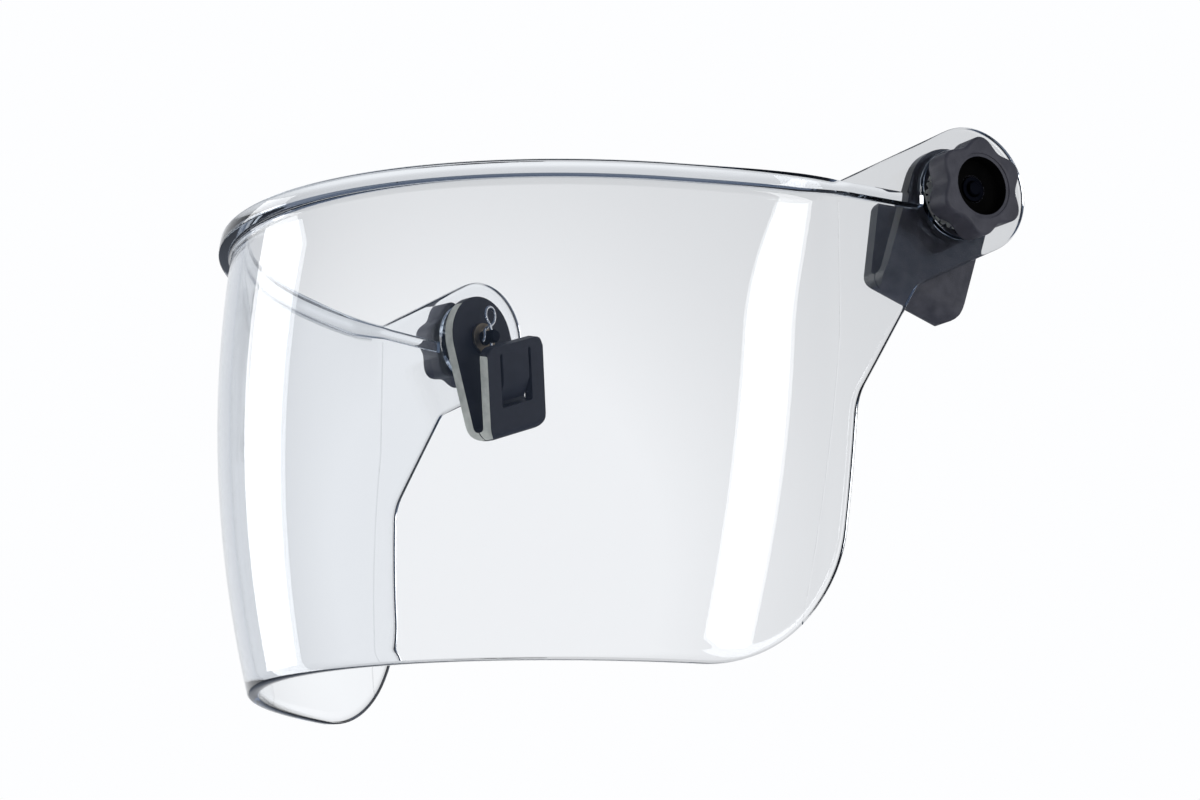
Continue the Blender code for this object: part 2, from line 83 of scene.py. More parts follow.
def rounded(corners, steps):
    """Points through corners (x, y, radius), and for each corner the indices where it starts, is half way
    and ends."""
    points, marks = [], []
    for i, (x, y, radius) in enumerate(corners):
        corner = Vector((x, y))
        first = len(points)
        if radius:
            back = (Vector(corners[i - 1][:2]) - corner).normalized()
            ahead = (Vector(corners[(i + 1) % len(corners)][:2]) - corner).normalized()
            half = back.angle(ahead) / 2
            centre = corner + (back + ahead).normalized() * radius / math.sin(half)
            out = corner + back * radius / math.tan(half) - centre
            turn = out.angle_signed(corner + ahead * radius / math.tan(half) - centre)
            start = math.atan2(out.y, out.x)
            points += arc(centre, radius, start, start - turn, steps)
        else:
            points.append((x, y))
        marks.append((first, (first + len(points) - 1) // 2, len(points) - 1))
    return points, marks


def tube(name, loops, closed=False, caps=True):
    """A mesh through loops of points, all of one length. Its ends meet, are capped or close by themselves."""
    count = len(loops[0])
    points = [point for loop in loops for point in loop]
    faces = []
    for i in range(len(loops) if closed else len(loops) - 1):
        a, b = i * count, (i + 1) % len(loops) * count
        faces += [(a + j, a + (j + 1) % count, b + (j + 1) % count, b + j) for j in range(count)]
    if caps and not closed:
        faces += [tuple(range(count)), tuple(range(len(points) - count, len(points)))]
    mesh = bpy.data.meshes.new(name)
    mesh.from_pydata(points, [], faces)
    return cleaned(mesh)


def cleaned(mesh):
    made = bmesh.new()
    made.from_mesh(mesh)
    bmesh.ops.remove_doubles(made, verts=made.verts, dist=MERGE)
    bmesh.ops.dissolve_degenerate(made, edges=made.edges, dist=MERGE)
    bmesh.ops.recalc_face_normals(made, faces=made.faces)
    made.to_mesh(mesh)
    made.free()
    return mesh


def add(name, mesh, matrix=None):
    obj = bpy.data.objects.new(name, mesh)
    bpy.context.scene.collection.objects.link(obj)
    if matrix is not None:
        mesh.transform(matrix)
    return obj


def joined(meshes):
    """One mesh of several that don't touch."""
    made = bmesh.new()
    for mesh in meshes:
        made.from_mesh(mesh)
    mesh = bpy.data.meshes.new("joined")
    made.to_mesh(mesh)
    made.free()
    return mesh


def boolean(obj, operation, mesh):
    """Applies one Boolean to the object at once."""
    other = add("other", mesh)
    modifier = obj.modifiers.new("cut", "BOOLEAN")
    modifier.operation = operation
    modifier.object = other
    graph = bpy.context.evaluated_depsgraph_get()
    result = bpy.data.meshes.new_from_object(obj.evaluated_get(graph))
    obj.modifiers.clear()
    obj.data = result
    bpy.data.objects.remove(other)


def smooth(obj, sharp_degrees):
    obj.data.shade_smooth()
    obj.data.set_sharp_from_angle(angle=math.radians(sharp_degrees))


# ---------------------------------------------------------------- the visor's surface

END_ANGLE = math.atan(EAR_FLARE * FRONT_DEPTH / HALF_WIDTH)
ANGLES = np.linspace(math.pi / 2, END_ANGLE, 400)
FRONT_X = HALF_WIDTH * np.cos(ANGLES)
FRONT_Y = ELLIPSE_Y - FRONT_DEPTH * np.sin(ANGLES)
FRONT_S = np.concatenate([[0], np.cumsum(np.hypot(np.diff(FRONT_X), np.diff(FRONT_Y)))])
EAR_X, EAR_Y, EAR_S = FRONT_X[-1], FRONT_Y[-1], FRONT_S[-1]
EAR_STRETCH = math.hypot(1, EAR_FLARE)
PIVOT_X = EAR_X - EAR_FLARE * EAR_Y


def s_of(y):
    """The distance along the outer plan from the front to where it reaches y."""
    if y > EAR_Y:
        return EAR_S + (y - EAR_Y) * EAR_STRETCH
    return float(np.interp(y, FRONT_Y, FRONT_S))


def skin(side, s, z, out=0.0):
    """A point on the visor's outer surface, or out beyond it, at distance s along the plan from the front."""
    if s > EAR_S:
        y = EAR_Y + (s - EAR_S) / EAR_STRETCH
        x = EAR_X + EAR_FLARE * (y - EAR_Y)
        normal = Vector((1, -EAR_FLARE)).normalized()
    else:
        angle = float(np.interp(s, FRONT_S, ANGLES))
        x = HALF_WIDTH * math.cos(angle)
        y = ELLIPSE_Y - FRONT_DEPTH * math.sin(angle)
        normal = Vector((math.cos(angle) / HALF_WIDTH, -math.sin(angle) / FRONT_DEPTH)).normalized()
    lean = -BULGE * (z - WIDEST_Z) ** 2
    if z > WIDEST_Z:
        share = (EAR_Y - y) / (EAR_Y - ELLIPSE_Y + FRONT_DEPTH) / FULL_BULGE
        share = min(max(share, 0), 1)
        lean *= share * share * (3 - 2 * share)
    return Vector((side * (x + normal.x * (lean + out)), y + normal.y * (lean + out), z))


def pivot_frame(side):
    """One pivot's frame: x along the ear, y up, z out of the ear."""
    out = Vector((side, -EAR_FLARE, 0)).normalized()
    up = Vector((0, 0, 1))
    frame_matrix = Matrix((up.cross(out), up, out)).transposed().to_4x4()
    frame_matrix.translation = (side * PIVOT_X, 0, 0)
    return frame_matrix


def resampled(points, marks, counts):
    """The polyline as (s, z) points, with counts[i] steps between marks i and i + 1."""
    line = np.array([(s_of(y), z) for y, z in points])
    result = [line[0]]
    for first, last, count in zip(marks, marks[1:], counts):
        piece = line[first:last + 1]
        run = np.concatenate([[0], np.cumsum(np.hypot(*np.diff(piece, axis=0).T))])
        at = np.linspace(0, run[-1], count + 1)[1:]
        result += list(np.column_stack([np.interp(at, run, piece[:, 0]), np.interp(at, run, piece[:, 1])]))
    return np.array(result)


COLUMNS = (60, 26, 18, 20, 16, 18)       # between the matching points of the upper and the lower edge
ROWS = 44
MATCH_IN_FRONT = -60 * MM                # the upper edge's matching points, by their y
MATCHES_ON_RISE = (-33 * MM, -18 * MM)
ARC_STEPS = 24
BROW_STEPS = 12


def edge_lines():
    """The visor's upper and lower edges from the front to the ear's tip, as matching (s, z) points."""
    front = ELLIPSE_Y - FRONT_DEPTH
    tip = (EAR_RISE + EAR_UNDERSIDE) / 2
    over = arc(EAR_CENTRE, EAR_RADIUS, math.pi / 2 + EAR_RISE, tip, ARC_STEPS)
    under = arc(EAR_CENTRE, EAR_RADIUS, EAR_UNDERSIDE - math.pi / 2, tip, ARC_STEPS)
    tangent = over[0]
    rise = math.tan(EAR_RISE)
    brow = tangent[0] - (tangent[1] - TOP_Z) / rise
    on_rise = [(y, tangent[1] + (y - tangent[0]) * rise, 0) for y in MATCHES_ON_RISE]
    upper = [(front, TOP_Z, 0), (MATCH_IN_FRONT, TOP_Z, 0), (brow, TOP_Z, BROW_RADIUS)] + on_rise
    upper += [(*point, 0) for point in over]
    lower = [(front, BOTTOM_Z, 0), REAR_CORNER, CHEEK_BEND, EAR_ROOT] + [(*point, 0) for point in under]
    up, up_marks = rounded(upper, BROW_STEPS)
    low, low_marks = rounded(lower, ARC_STEPS)
    up_keys = [0, up_marks[1][0], up_marks[2][1], up_marks[3][0], up_marks[4][0], up_marks[5][0], len(up) - 1]
    low_keys = [0, low_marks[1][0], low_marks[1][2], low_marks[2][1], low_marks[3][1], low_marks[4][0]]
    low_keys.append(len(low) - 1)
    return resampled(up, up_keys, COLUMNS), resampled(low, low_keys, COLUMNS)


def outward(line, sign):
    """The outward normal at each point of an edge line. The normals at both ends are given."""
    step = np.gradient(line, axis=0)
    normal = np.column_stack([-step[:, 1], step[:, 0]]) * sign
    normal /= np.linalg.norm(normal, axis=1)[:, None]
    normal[0] = (0, sign)
    angle = (EAR_RISE + EAR_UNDERSIDE) / 2
    normal[-1] = (math.cos(angle), math.sin(angle))
    return normal


def rim():
    """Round the wall's edge from its outer to its inner face, as (inset from the edge, depth)."""
    turn = np.linspace(0, math.pi / 2, EDGE_STEPS + 1)
    outer = [(EDGE_RADIUS * (1 - math.sin(a)), -EDGE_RADIUS * (1 - math.cos(a))) for a in turn]
    inner = [(inset, -WALL - depth) for inset, depth in reversed(outer)]
    return outer + inner


def wall_mesh():
    """The curved wall with rounded edges, as one loop across the wall for each column."""
    up, low = edge_lines()
    up_out, low_out = outward(up, 1), outward(low, -1)
    rims = rim()
    shares = np.linspace(0, 1, ROWS + 1)[1:-1]

    def loop(side, i):
        def at(point, depth):
            return skin(side, point[0], point[1], depth)
        top = [at(up[i] - up_out[i] * inset, depth) for inset, depth in rims]
        bottom = [at(low[i] - low_out[i] * inset, depth) for inset, depth in reversed(rims)]
        high = up[i] - up_out[i] * EDGE_RADIUS
        foot = low[i] - low_out[i] * EDGE_RADIUS
        inside = [at(high + (foot - high) * t, -WALL) for t in shares]
        outside = [at(foot + (high - foot) * t, 0) for t in shares]
        return top + inside + bottom + outside

    last = len(up) - 1
    loops = [loop(-1, i) for i in range(last, 0, -1)] + [loop(1, i) for i in range(last + 1)]
    return tube("wall", loops, caps=False)


# ---------------------------------------------------------------- what stands on the visor

RIB_CHANGE = (-60 * MM, -44 * MM)
RIB_END_Y = -15.5 * MM
RIB_STATIONS = 130
RIB_SECTIONS = (          # (out, down from the top edge) in mm, in front and on the ears
    ((-1, 0.08), (3.9, 0.08), (4.18, 0.2), (4.3, 0.5), (4.3, 4.2), (4.1, 4.75), (3.6, 5.0), (1.3, 5.05),
     (0.7, 5.25), (0.3, 5.7), (-0.5, 7.1), (-1, 7.1)),
    ((-1, 0.08), (2.8, 0.08), (3.08, 0.2), (3.2, 0.45), (3.2, 2.9), (3.05, 3.3), (2.7, 3.5), (1.0, 3.55),
     (0.5, 3.7), (0.2, 4.0), (-0.5, 4.8), (-1, 4.8)),
)


PARTING_Y = -45.2 * MM
PARTING_BEND_Z = -50 * MM
PARTING_SLANT = 0.10
PARTING_ENDS = (-5.5 * MM, 1.5 * MM)     # from the top edge, and from the bottom one
PARTING_STATIONS = 40
PARTING_SECTION = ((-0.25, -0.3), (-0.22, 0.05), (0, 0.09), (0.22, 0.05), (0.25, -0.3))    # along, out in mm


def rib_mesh():
    front, rear = (np.array(section) * MM for section in RIB_SECTIONS)
    stations = np.linspace(0, s_of(RIB_END_Y), RIB_STATIONS)

    def loop(side, s):
        y = skin(1, s, WIDEST_Z).y
        change = min(max((y - RIB_CHANGE[0]) / (RIB_CHANGE[1] - RIB_CHANGE[0]), 0), 1)
        section = front + (rear - front) * change
        return [skin(side, s, TOP_Z - down, out) for out, down in section]

    loops = [loop(-1, s) for s in stations[:0:-1]] + [loop(1, s) for s in stations]
    return tube("rib", loops)


def parting_mesh(side):
    """The faint raised line that the mould leaves on each side, from the rib to the rear corner."""
    low = edge_lines()[1][:COLUMNS[0] + COLUMNS[1]]

    def s_at(z):
        return s_of(PARTING_Y - PARTING_SLANT * max(0, PARTING_BEND_Z - z))

    end = np.interp(s_at(BOTTOM_Z), low[:, 0], low[:, 1]) + PARTING_ENDS[1]
    heights = np.linspace(TOP_Z + PARTING_ENDS[0], end, PARTING_STATIONS)
    loops = []
    for z in heights:
        loops.append([skin(side, s_at(z) + along * MM, z, out * MM) for along, out in PARTING_SECTION])
    return tube("parting", loops)


def disc_mesh(profile, sides=96):
    """A profile of (radius, z) in mm turned about z."""
    loops = []
    for i in range(sides):
        a = 2 * math.pi * i / sides
        loops.append([Vector((r * math.cos(a), r * math.sin(a), z)) * MM for r, z in profile])
    return tube("disc", loops, closed=True)


BOSS_PROFILE = ((0.0, -1), (14.5, -1), (14.5, 1.5), (14.35, 1.85), (14.0, 2.0), (0.0, 2.0))
TICKS = 36
TICK_ENDS = (11.9, 13.4)                 # radii in mm
TICK_SECTION = ((-0.22, 1.8), (-0.16, 2.14), (0.16, 2.14), (0.22, 1.8))
KEYHOLE_RADIUS = 2.8 * MM
KEYHOLE_FLAT = 2.3 * MM
KEYHOLE_ENDS = (-9 * MM, 9 * MM)
KEYHOLE_STEPS = 10


def tick_mesh(angle):
    """One short raised bar of the boss's click scale."""
    turn = Matrix.Rotation(angle, 4, "Z")
    return tube("tick", [[turn @ Vector((x, y, z)) * MM for y, z in TICK_SECTION] for x in TICK_ENDS])


def keyhole_mesh():
    """A cutter for the pivot's hole, which is round with two flats."""
    edge = math.acos(KEYHOLE_FLAT / KEYHOLE_RADIUS)
    outline = arc((0, 0), KEYHOLE_RADIUS, edge, math.pi - edge, KEYHOLE_STEPS)
    outline += arc((0, 0), KEYHOLE_RADIUS, math.pi + edge, 2 * math.pi - edge, KEYHOLE_STEPS)
    return tube("keyhole", [[Vector((x, y, z)) for x, y in outline] for z in KEYHOLE_ENDS])


def make_visor():
    visor = add("visor_wall", wall_mesh())
    raised = [rib_mesh()]
    cuts = []
    for side in SIDES.values():
        place = pivot_frame(side)
        boss = disc_mesh(BOSS_PROFILE)
        boss.transform(place)
        raised += [boss, parting_mesh(side)]
        keyhole = keyhole_mesh()
        keyhole.transform(place)
        cuts.append(keyhole)
    boolean(visor, "UNION", joined(raised))
    ticks = []
    for side in SIDES.values():
        for i in range(TICKS):
            tick = tick_mesh(2 * math.pi * i / TICKS)
            tick.transform(pivot_frame(side))
            ticks.append(tick)
    boolean(visor, "UNION", joined(ticks))
    boolean(visor, "DIFFERENCE", joined(cuts))
    smooth(visor, 35)
    finish_piece(visor, "shield", clear_plastic(), "visor")


# ---------------------------------------------------------------- knobs and hairpins

def knob_profile():
    """Round the knob's section from its bore, as (mean radius, share of the lobes, z) in mm."""
    front, rim_z, lobe = 13.5, 4.5, 1.0
    section = [(4.3, 0, 8.0), (4.45, 0, 8.2), (8.9, 0, 8.2), (9.2, 0, 8.32), (9.3, 0, 8.6), (9.3, 0, 12.75)]
    section += [(9.4, 0, 12.95), (9.6, 0, 13.0), (10.2, 0, 13.0), (10.36, 0, 13.05), (10.4, 0, 13.2)]
    section += [(10.43, 0, 13.4), (10.6, 0, front)]
    section += [(11.3, 0.25, front), (12.4, 0.6, front), (13.3, 0.9, front)]
    for i in range(7):
        a = math.pi / 2 * i / 6
        section.append((13.6 + math.sin(a), lobe, front - 1 + math.cos(a)))
    section += [(14.6, lobe, 10.0), (14.6, lobe, 7.0), (14.6, lobe, 4.9), (14.5, lobe, 4.6)]
    section += [(14.25, lobe, rim_z)]
    section += [(12.9, lobe, rim_z), (12.65, lobe, 4.65), (12.6, lobe, 6.1), (12.3, lobe, 6.4)]
    section += [(7.4, 0, 6.4), (7.1, 0, 6.3), (7.0, 0, 6.0), (7.0, 0, 5.4), (6.8, 0, 5.2), (4.5, 0, 5.2)]
    return section + [(4.3, 0, 5.4)]


KNOB_SIDES = 192
LOBES = 6
LOBE_HEIGHT = 1.4                        # in mm


def knob_mesh():
    section = knob_profile()
    loops = []
    for i in range(KNOB_SIDES):
        a = 2 * math.pi * i / KNOB_SIDES
        wave = LOBE_HEIGHT * math.cos(LOBES * (a - math.pi / 2))
        loops.append([
            Vector(((mean + lobe * wave) * math.cos(a), (mean + lobe * wave) * math.sin(a), z)) * MM
            for mean, lobe, z in section
        ])
    return tube("knob", loops, closed=True)


PIN_Z = -13.75 * MM                      # of the cross hole, in the pivot's frame
PIN_RADIUS = 0.575 * MM
PIN_TAPER = 0.75                         # of the radius, at the wire's ends
PIN_SIDES = 16
PIN_STEPS = 6
EYE_ARC = (math.radians(-35), math.radians(250), 8)     # where it starts, how far it turns, its steps
EYE_SIZE = (2.95, 3.4)
EYE_Y = 8
EYE_RISE = 1.3                           # where the wire crosses over itself
PIN_GUIDE = ((0, -8, 0), (0, -4, 0), (0, 0, 0), (0, 2.1, 0), (0.7, 4.0, 0))
PIN_WAVE = ((-0.6, 4.3, 1.3), (1.0, 3.5, 1.3), (2.9, 1.9, 0.78), (3.45, 0, 0), (3.7, -1.5, 0), (4.4, -2.8, 0))


def smooth_path(points, steps):
    ends = [2 * points[0] - points[1], *points, 2 * points[-1] - points[-2]]
    path = []
    for a, b, c, d in zip(ends, ends[1:], ends[2:], ends[3:]):
        for i in range(steps):
            t = i / steps
            path.append((2 * b + (c - a) * t + (2 * a - 5 * b + 4 * c - d) * t**2
                         + (-a + 3 * b - 3 * c + d) * t**3) / 2)
    return path + [points[-1]]


def hairpin_mesh():
    guide = [Vector(point) for point in PIN_GUIDE]
    start, turn, steps = EYE_ARC
    for i in range(steps + 1):
        a = start + turn * i / steps
        x, y = EYE_SIZE[0] * math.cos(a), EYE_Y + EYE_SIZE[1] * math.sin(a)
        guide.append(Vector((x, y, EYE_RISE * i / steps)))
    guide += [Vector(point) for point in PIN_WAVE]
    path = [point * MM for point in smooth_path(guide, PIN_STEPS)]
    loops = []
    for i, point in enumerate(path):
        along = (path[min(i + 1, len(path) - 1)] - path[max(i - 1, 0)]).normalized()
        across = Vector((0, 0, 1)).cross(along).normalized()
        up = along.cross(across)
        radius = PIN_RADIUS * (PIN_TAPER if i in (0, len(path) - 1) else 1)
        loops.append([point + (across * math.cos(a) + up * math.sin(a)) * radius
                      for a in np.linspace(0, 2 * math.pi, PIN_SIDES, endpoint=False)])
    return tube("hairpin", loops)


# ---------------------------------------------------------------- materials

def new_material(name, colour, roughness, metallic=0.0):
    """A Principled material, its nodes, links and shader."""
    material = bpy.data.materials.new(name)
    material.use_nodes = True
    nodes, links = material.node_tree.nodes, material.node_tree.links
    shader = nodes["Principled BSDF"]
    shader.inputs["Base Color"].default_value = (*colour, 1)
    shader.inputs["Roughness"].default_value = roughness
    shader.inputs["Metallic"].default_value = metallic
    return material, nodes, links, shader


def noise(nodes, links, scale, detail):
    """A noise in the object's own coordinates, in metres."""
    texture = nodes.new("ShaderNodeTexNoise")
    texture.inputs["Scale"].default_value = scale
    texture.inputs["Detail"].default_value = detail
    where = nodes.new("ShaderNodeTexCoord")
    links.new(where.outputs["Object"], texture.inputs["Vector"])
    return texture


def spread(nodes, links, texture, low, high):
    """The noise as a value between low and high."""
    span = nodes.new("ShaderNodeMapRange")
    span.inputs["From Min"].default_value = 0.3
    span.inputs["From Max"].default_value = 0.7
    span.inputs["To Min"].default_value = low
    span.inputs["To Max"].default_value = high
    links.new(texture.outputs["Fac"], span.inputs["Value"])
    return span.outputs["Result"]


def tint(nodes, links, texture, low, high):
    """The noise as a colour between low and high."""
    ramp = nodes.new("ShaderNodeValToRGB")
    ramp.color_ramp.elements[0].position = 0.35
    ramp.color_ramp.elements[0].color = (*low, 1)
    ramp.color_ramp.elements[1].position = 0.65
    ramp.color_ramp.elements[1].color = (*high, 1)
    links.new(texture.outputs["Fac"], ramp.inputs["Fac"])
    return ramp.outputs["Color"]


def bump(nodes, links, shader, texture, depth, strength=1.0):
    """Raises the shader's surface by the noise, to a depth in metres."""
    raised = nodes.new("ShaderNodeBump")
    raised.inputs["Distance"].default_value = depth
    raised.inputs["Strength"].default_value = strength
    links.new(texture.outputs["Fac"], raised.inputs["Height"])
    links.new(raised.outputs["Normal"], shader.inputs["Normal"])


def clear_plastic():
    """Polycarbonate: clear, with the slate blue of its thickness where light runs along the wall."""
    material, nodes, links, shader = new_material("clear_polycarbonate", (1, 1, 1), 0.0)
    shader.inputs["IOR"].default_value = 1.585
    shader.inputs["Transmission Weight"].default_value = 1.0
    haze = noise(nodes, links, 60, 2)
    links.new(spread(nodes, links, haze, 0.0, 0.006), shader.inputs["Roughness"])
    absorb = nodes.new("ShaderNodeVolumeAbsorption")
    absorb.inputs["Color"].default_value = (0.30, 0.52, 0.76, 1)
    absorb.inputs["Density"].default_value = 14.0
    links.new(absorb.outputs["Volume"], nodes["Material Output"].inputs["Volume"])
    return material


def nylon(name, dark, light, roughness, grain, depth, gloss=0.5):
    """Moulded nylon with a fine spark-eroded grain."""
    material, nodes, links, shader = new_material(name, dark, roughness)
    shader.inputs["Specular IOR Level"].default_value = gloss
    patches = noise(nodes, links, 220, 5)
    links.new(tint(nodes, links, patches, dark, light), shader.inputs["Base Color"])
    links.new(spread(nodes, links, patches, roughness - 0.06, roughness + 0.08), shader.inputs["Roughness"])
    bump(nodes, links, shader, noise(nodes, links, grain, 3), depth)
    return material


def metal(name, dark, light, roughness):
    """Plated or turned metal with faint clouding."""
    material, nodes, links, shader = new_material(name, dark, roughness, 1.0)
    clouds = noise(nodes, links, 500, 4)
    links.new(tint(nodes, links, clouds, dark, light), shader.inputs["Base Color"])
    links.new(spread(nodes, links, clouds, roughness - 0.08, roughness + 0.10), shader.inputs["Roughness"])
    bump(nodes, links, shader, clouds, 0.00003, 0.5)
    return material


CLIP_LIT_AND_SHADED_LOOKS = {         # one nylon in a lit and a shaded copy: the left clip painted paler as painted light, the right clip darker as painted shade
    "left": nylon(
        "left_clip_nylon_painted_light", (0.036, 0.037, 0.050), (0.060, 0.061, 0.078), 0.44, 2600, 0.00008, 0.4),
    "right": nylon(
        "right_clip_nylon_painted_shade", (0.008, 0.009, 0.016), (0.014, 0.015, 0.024), 0.42, 2600, 0.00006, 0.3),
}
EDGE_LIGHT_LOOKS = {          # painted light on the clips' cut edges: a paler nylon on them, far paler on the right clip
    "left": nylon("left_clip_edge_painted_light", (0.040, 0.041, 0.040), (0.060, 0.061, 0.058), 0.38, 1800, 0.00005),
    "right": nylon("right_clip_edge_painted_light", (0.42, 0.44, 0.41), (0.58, 0.60, 0.56), 0.38, 1800, 0.00005),
}
KNOB_LOOK = nylon("knob_nylon", (0.032, 0.032, 0.045), (0.050, 0.050, 0.066), 0.46, 2200, 0.00008)
# Painted shade: a near-black, matt nylon with almost no sheen for the hollow in the knob's face.
RECESS_SHADE_LOOK = nylon("knob_recess_painted_shade", (0.001, 0.001, 0.001), (0.002, 0.002, 0.002), 0.85, 1500, 0.00004, 0.05)
STEEL_LOOK = metal("plated_steel", (0.16, 0.16, 0.165), (0.26, 0.26, 0.27), 0.38)
SPRING_LOOK = metal("spring_steel", (0.40, 0.41, 0.42), (0.52, 0.53, 0.54), 0.30)
ZINC_LOOK = metal("zinc_wire", (0.70, 0.71, 0.73), (0.78, 0.79, 0.80), 0.22)
BLACK_LOOK = metal("blackened_steel", (0.004, 0.005, 0.009), (0.009, 0.010, 0.016), 0.55)
BRONZE_LOOK = metal("bronze", (0.23, 0.185, 0.13), (0.31, 0.25, 0.18), 0.42)
ACETAL_LOOK = nylon("acetal", (0.62, 0.62, 0.60), (0.70, 0.70, 0.68), 0.45, 900, 0.00003)


# ---------------------------------------------------------------- pieces

LEG_FOOT = (0, -33.3 * MM, -13.5 * MM)     # the foot of the gap, in the clip's frame
LEG_TILT = math.radians(14.3)
WINDOW_TOP = 28.2 * MM                     # along the inner leg, from the foot of the gap
ROOT_SHIFT = 0.33 * MM                     # what the tongue's root end moves up to meet the window's top
ROOT_HEIGHTS = (-0.6 * MM, 0.02 * MM)      # of the corners of the tongue's root and of the window's top
ROOT_REACH = 12 * MM
CUT_REACH = 15.7 * MM                      # the cut edges lie further out than this
CUT_FACING = 0.4
CORNER_AT = (11.5 * MM, -32.8 * MM)        # the centre of the round corner at the fold
SEAM_ENDS = ((-17, -11.5), (11.5, 17))     # across the clip, in mm
SEAM_SECTION = ((-33.2, -11.45), (-33.2, -11.0), (-37.1, -11.5), (-37.1, -11.95))
RECESS_RADIUS = 9.35 * MM
RECESS_FLOOR = 8.1 * MM
CLIP_TURN = {"left": math.radians(-18), "right": math.radians(-20.5)}
KNOB_TURN = {"left": 0.0, "right": math.radians(-23)}
SHARP_ANGLE = math.radians(32)             # edges sharper than this are rounded
FLAT_ANGLE = math.radians(1)
CAD_MERGE = 2e-6
SOFTENED = {           # the node's name without its side: body, slot, look, edge radius in mm
    "stud": ("shield", "blackened_steel", BLACK_LOOK, 0.08),
    "knob_insert": ("{side}_knob", "blackened_steel", BLACK_LOOK, 0.15),
    "pressure_washer": ("{side}_clamp", "plated_steel", STEEL_LOOK, 0.15),
    "wave_washer": ("shield", "spring_steel", SPRING_LOOK, 0.05),
    "friction_washer": ("shield", "acetal", ACETAL_LOOK, 0.1),
    "retaining_washer": ("shield", "bronze", BRONZE_LOOK, 0.2),
}
CLIP_EDGE = 0.35 * MM
TONGUE_EDGE = 0.25 * MM


def dress(obj, look, node):
    """The piece's look, and the CAD node that it stands for."""
    obj.data.materials.clear()
    obj.data.materials.append(look)
    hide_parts(node)


def finish_piece(obj, body, look, node):
    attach(obj, body)
    dress(obj, look, node)


def clip_frame(side):
    return pivot_frame(SIDES[side]) @ Matrix.Rotation(CLIP_TURN[side], 4, "Z")


def leg_top(side):
    """The top of the window in a clip's inner leg: a point on it, and the direction up the leg."""
    leg = clip_frame(side) @ Matrix.Translation(LEG_FOOT) @ Matrix.Rotation(-LEG_TILT, 4, "X")
    return leg @ Vector((0, WINDOW_TOP, 0)), leg.col[1].xyz


def seam_mesh(side):
    """The seam under the clip's gap, where the two legs of the fold meet: a notch into each cut edge."""
    notches = []
    for ends in SEAM_ENDS:
        notches.append(tube("seam", [[Vector((x, y, z)) * MM for y, z in SEAM_SECTION] for x in ends]))
    seam = joined(notches)
    seam.transform(clip_frame(side))
    return seam


def softened(node, width, root=None, cut=None):
    """A copy of a CAD node's mesh with its faces joined and its edges rounded. Root is the point
    and direction where the tongue leaves the window's top: there the two stay sharp, and the tongue closes
    its gap."""
    name = node + "_fine"
    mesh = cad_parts[node].data.copy()
    mesh.name = name
    made = bmesh.new()
    made.from_mesh(mesh)
    bmesh.ops.remove_doubles(made, verts=made.verts, dist=CAD_MERGE)
    bmesh.ops.recalc_face_normals(made, faces=made.faces)
    bmesh.ops.dissolve_limit(made, angle_limit=FLAT_ANGLE, verts=made.verts, edges=made.edges)
    sharp = [edge for edge in made.edges if edge.calc_face_angle(0) > SHARP_ANGLE]
    if root:
        at, up = root

        def at_root(vert):
            away = vert.co - at
            return ROOT_HEIGHTS[0] < away.dot(up) < ROOT_HEIGHTS[1] and away.length < ROOT_REACH

        ends = [vert for vert in made.verts if at_root(vert)]
        sharp = [edge for edge in sharp if not all(vert in ends for vert in edge.verts)]
        if "tongue" in node:
            for vert in ends:
                vert.co += up * ROOT_SHIFT
    bmesh.ops.bevel(
        made, geom=sharp, offset=width, offset_type="OFFSET", segments=3, profile=0.5, affect="EDGES",
        clamp_overlap=True,
    )
    made.to_mesh(mesh)
    made.free()
    obj = add(name, mesh)
    if cut:
        boolean(obj, "DIFFERENCE", cut)
    smooth(obj, 40)
    obj.modifiers.new("normals", "WEIGHTED_NORMAL").keep_sharp = True
    return obj


def make_knob(side):
    place = pivot_frame(SIDES[side])
    knob = add(f"{side}_knob_fine", knob_mesh(), place @ Matrix.Rotation(KNOB_TURN[side], 4, "Z"))
    smooth(knob, 50)
    finish_piece(knob, f"{side}_knob", KNOB_LOOK, f"{side}_knob")
    # Faces in the hollow of the knob's face take the near-black nylon: painted shade in the recess.
    knob.data.materials.append(RECESS_SHADE_LOOK)
    inward = place.inverted()
    for face in knob.data.polygons:
        middle = inward @ face.center
        if math.hypot(middle.x, middle.y) < RECESS_RADIUS and middle.z > RECESS_FLOOR:
            face.material_index = 1


def make_hairpin(side):
    place = pivot_frame(SIDES[side]) @ Matrix.Translation((0, 0, PIN_Z))
    hairpin = add(f"{side}_hairpin_fine", hairpin_mesh(), place)
    smooth(hairpin, 50)
    finish_piece(hairpin, f"{side}_hairpin", ZINC_LOOK, f"{side}_hairpin")


def make_clip(side):
    node = f"{side}_helmet_clip"
    clip = softened(node, CLIP_EDGE, leg_top(side), seam_mesh(side))
    # The clip's nylon: painted light on the left clip, painted shade on the right one.
    finish_piece(clip, f"{side}_clip", CLIP_LIT_AND_SHADED_LOOKS[side], node)
    clip.data.materials.append(EDGE_LIGHT_LOOKS[side])
    # Faces of the cut edges that face across the clip take the paler nylon: painted light on them.
    inward, across = clip_frame(side).inverted(), clip_frame(side).col[0].xyz
    for face in clip.data.polygons:
        middle = inward @ face.center
        if middle.y > 0:
            reach = math.hypot(middle.x, middle.y)
        else:
            beside, below = abs(middle.x) - CORNER_AT[0], max(0, CORNER_AT[1] - middle.y)
            reach = CORNER_AT[0] + math.hypot(beside, below)
        if reach > CUT_REACH and abs(face.normal.dot(across)) > CUT_FACING:
            face.material_index = 1


def make_tongue(side):
    node = f"{side}_clip_tongue"
    at, up = leg_top(side)
    piece = softened(node, TONGUE_EDGE, (at, up))
    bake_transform(piece)
    # The tongue takes its clip's nylon, with the same painted light on the left and painted shade on the
    # right.
    dress(piece, CLIP_LIT_AND_SHADED_LOOKS[side], node)


